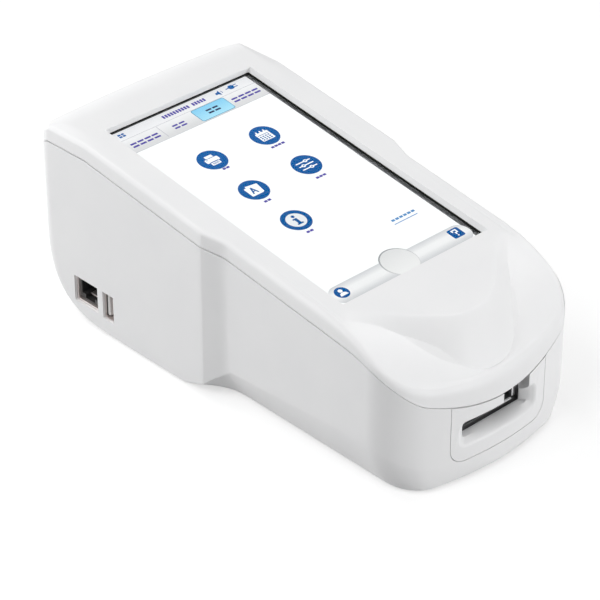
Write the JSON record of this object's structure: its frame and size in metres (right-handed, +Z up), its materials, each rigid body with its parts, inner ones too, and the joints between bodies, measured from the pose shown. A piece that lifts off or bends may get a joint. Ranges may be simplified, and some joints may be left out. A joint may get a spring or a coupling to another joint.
{
  "type": "electrolyte analyzer",
  "caption": "Bench-top electrolyte analyzer: a wedge-shaped case with a tilted touch screen, a cartridge slot in its nose, and network, USB and power sockets.",
  "frame": {"origin": "middle of the case's length and width, on the plane its feet stand on", "axes": "+X to the side without the sockets, -Y out of the nose with the cartridge slot, +Z up"},
  "size_m": [0.121, 0.2422, 0.0994],
  "materials": {
    "case_plastic": "satin moulded",
    "screen_glass": "polished",
    "display_body": "satin",
    "black_plastic": "satin",
    "chassis_plastic": "satin",
    "steel": "satin",
    "jack_steel": "plated",
    "brass": "turned",
    "aluminium": "satin",
    "circuit_board": "solder mask",
    "foot_rubber": "matte",
    "battery_wrap": "shrink film",
    "tongue_plastic": "moulded"
  },
  "bodies": {
    "case": {"battery_door": "case_plastic", "battery_pack": "battery_wrap", "board_screw_front_left": "steel", "board_screw_front_right": "steel", "board_screw_rear_left": "steel", "board_screw_rear_right": "steel", "bottom_shell": "case_plastic", "cartridge_chassis": "chassis_plastic", "case_screw_front_left": "steel", "case_screw_front_right": "steel", "case_screw_rear_left": "steel", "case_screw_rear_right": "steel", "chassis_screw_front_left": "steel", "chassis_screw_front_right": "steel", "chassis_screw_rear_left": "steel", "chassis_screw_rear_right": "steel", "code_reader": "black_plastic", "contact_block": "black_plastic", "contact_board": "circuit_board", "ethernet_jack": "jack_steel", "foot_front_left": "foot_rubber", "foot_front_right": "foot_rubber", "foot_rear_left": "foot_rubber", "foot_rear_right": "foot_rubber", "guide_rod_left": "steel", "guide_rod_right": "steel", "heater_plate": "aluminium", "latch_bracket": "steel", "latch_pin": "steel", "lcd_panel": "display_body", "lcd_tray": "aluminium", "main_board": "circuit_board", "port_insert": "case_plastic", "power_jack": "black_plastic", "power_switch": "black_plastic", "press_bridge": "chassis_plastic", "press_motor": "steel", "speaker": "black_plastic", "top_cover": "case_plastic", "touch_panel": "screen_glass", "tray_screw_front_left": "steel", "tray_screw_front_right": "steel", "tray_screw_rear_left": "steel", "tray_screw_rear_right": "steel", "usb_jack": "jack_steel", "usb_tongue": "tongue_plastic"},
    "button": {"power_button": "case_plastic"},
    "latch": {"cartridge_latch": "steel"},
    "press": {"press_head": "black_plastic"},
    "screw": {"lead_screw": "brass"}
  },
  "joints": [
    {"name": "power_press", "type": "slide", "parent": "case", "child": "button", "axis": [0, -1, 0], "range_m": [0, 0.0012], "stiffness_N_per_m": 900, "springref_m": -0.0005},
    {"name": "latch_swing", "type": "hinge", "parent": "case", "child": "latch", "pos_m": [0.016, -0.1094, 0.0362], "axis": [1, 0, 0], "range_deg": [0, 20], "stiffness_Nm_per_rad": 0.02, "springref_deg": -8.59},
    {"name": "press_travel", "type": "slide", "parent": "case", "child": "press", "axis": [0, 0, -1], "range_m": [0, 0.004]},
    {"name": "screw_turn", "type": "hinge", "parent": "case", "child": "screw", "pos_m": [0, -0.0521, 0.04], "axis": [0, 0, 1], "range_deg": [0, 360]}
  ],
  "couplings": [
    {"joint": "screw_turn", "follows": "press_travel", "rad_per_m": 1570.8}
  ]
}
